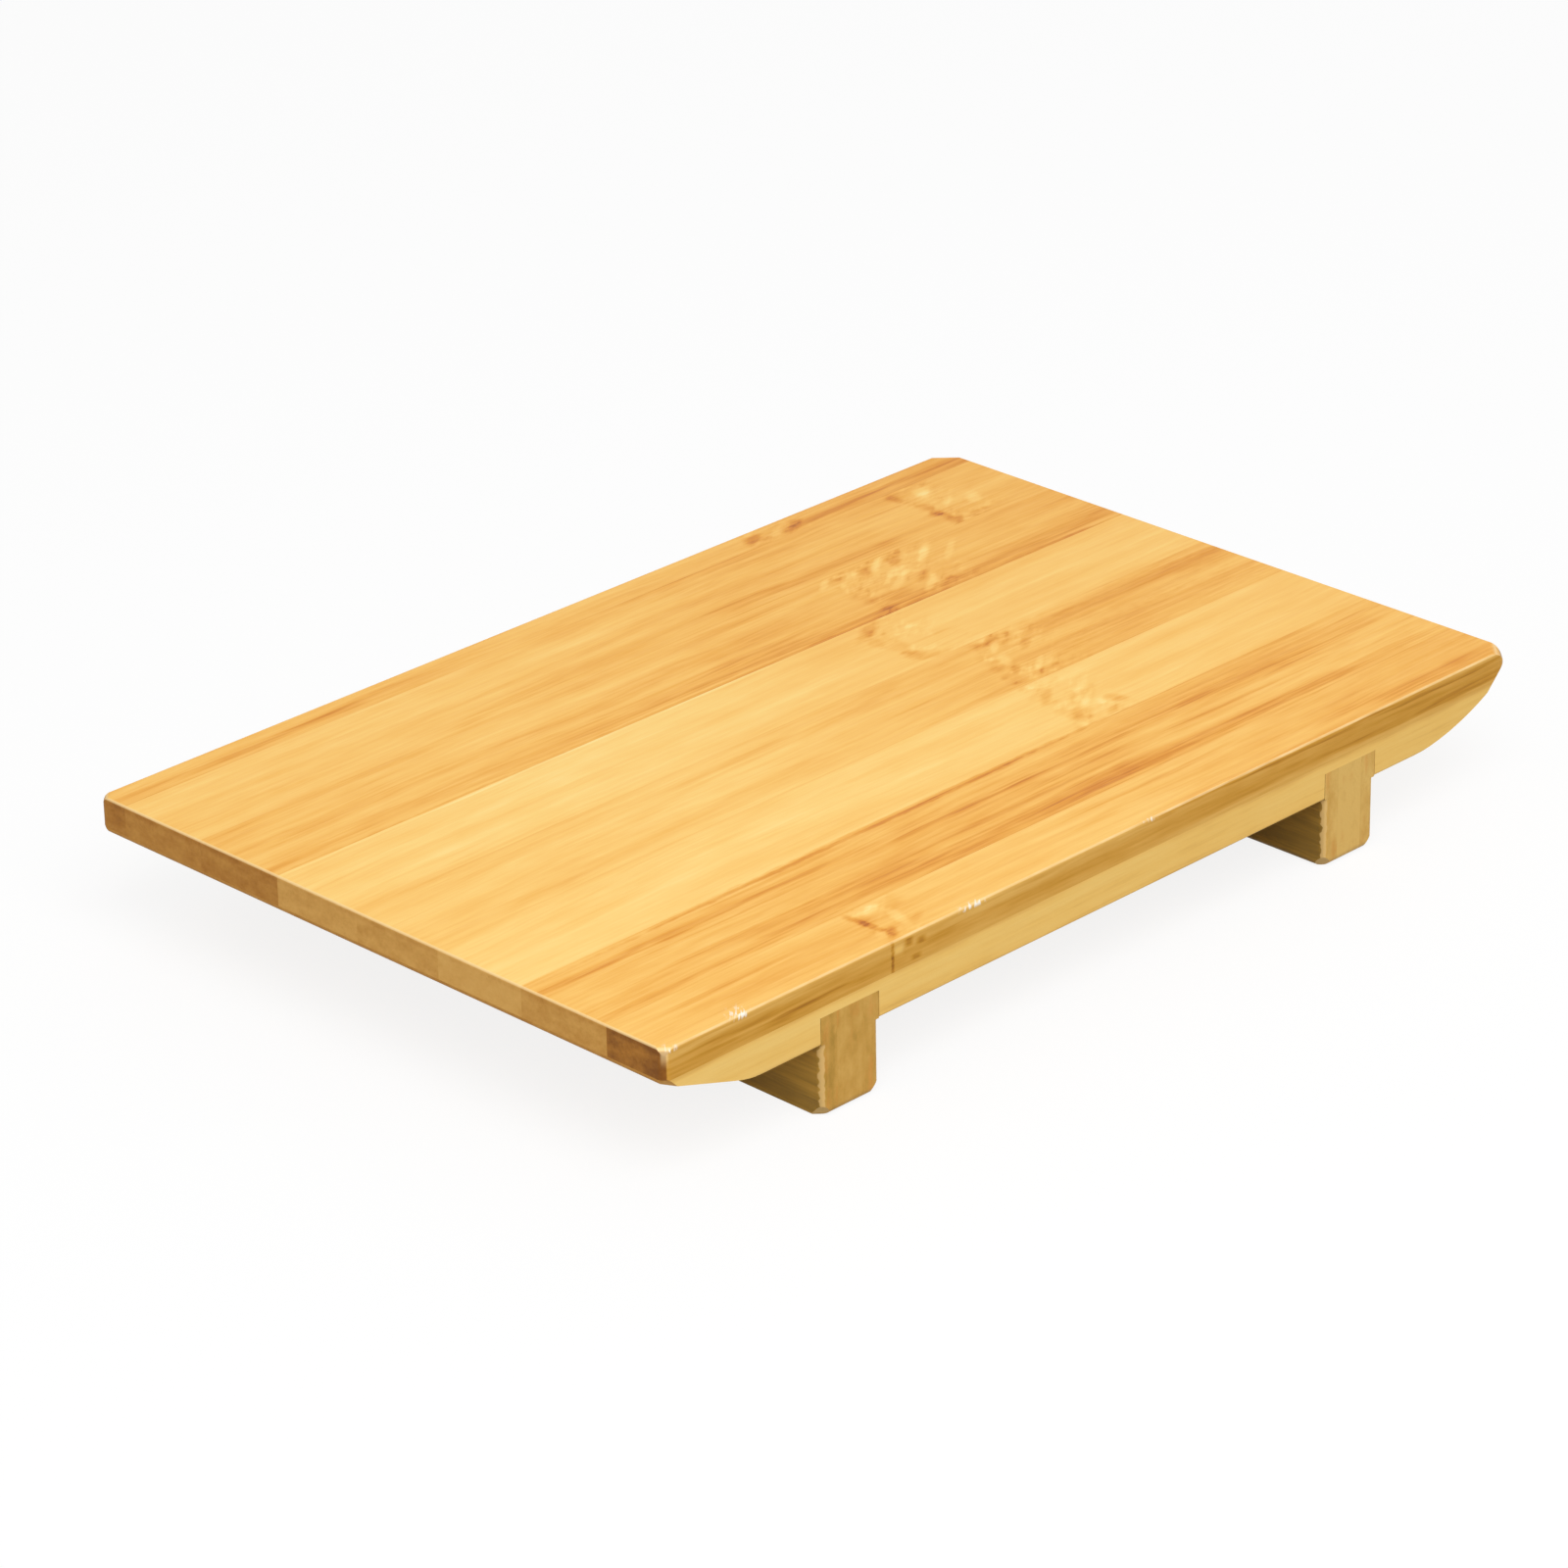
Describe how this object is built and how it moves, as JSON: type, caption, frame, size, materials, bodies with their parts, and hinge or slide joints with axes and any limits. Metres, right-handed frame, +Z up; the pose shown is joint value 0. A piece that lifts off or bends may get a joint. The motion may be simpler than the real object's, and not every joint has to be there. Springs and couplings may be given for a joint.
{
  "type": "sushi geta board",
  "caption": "Low rectangular serving board of edge-glued bamboo staves in two plies, bevelled underneath at both ends, on crossways laminated legs let into its underside.",
  "frame": {"origin": "on the ground that the feet stand on, under the middle of the board", "axes": "+X along the board, from the squarer end to the rounder end; +Y across it, from front to back; +Z up"},
  "size_m": [0.244, 0.16, 0.03],
  "materials": {
    "pale_bamboo": "oiled, satin, pale straw",
    "golden_bamboo": "oiled, satin, golden",
    "amber_bamboo": "oiled, satin, amber with darker streaks",
    "underside_bamboo": "oiled, satin, pale",
    "leg_bamboo": "oiled, satin, tan"
  },
  "bodies": {
    "root": {"top_stave_1": "golden_bamboo", "top_stave_2": "golden_bamboo", "top_stave_3": "amber_bamboo", "top_stave_4": "pale_bamboo", "top_stave_5": "golden_bamboo", "top_stave_6": "pale_bamboo", "top_stave_7": "amber_bamboo", "top_stave_8": "golden_bamboo", "bottom_stave_1": "underside_bamboo", "bottom_stave_2": "underside_bamboo", "bottom_stave_3": "underside_bamboo", "bottom_stave_4": "underside_bamboo", "bottom_stave_5": "underside_bamboo", "bottom_stave_6": "underside_bamboo", "bottom_stave_7": "underside_bamboo", "bottom_stave_8": "underside_bamboo", "left_leg_outer_lamination": "leg_bamboo", "left_leg_core_lamination": "leg_bamboo", "left_leg_inner_lamination": "leg_bamboo", "right_leg_outer_lamination": "leg_bamboo", "right_leg_core_lamination": "leg_bamboo", "right_leg_inner_lamination": "leg_bamboo"}
  },
  "joints": []
}
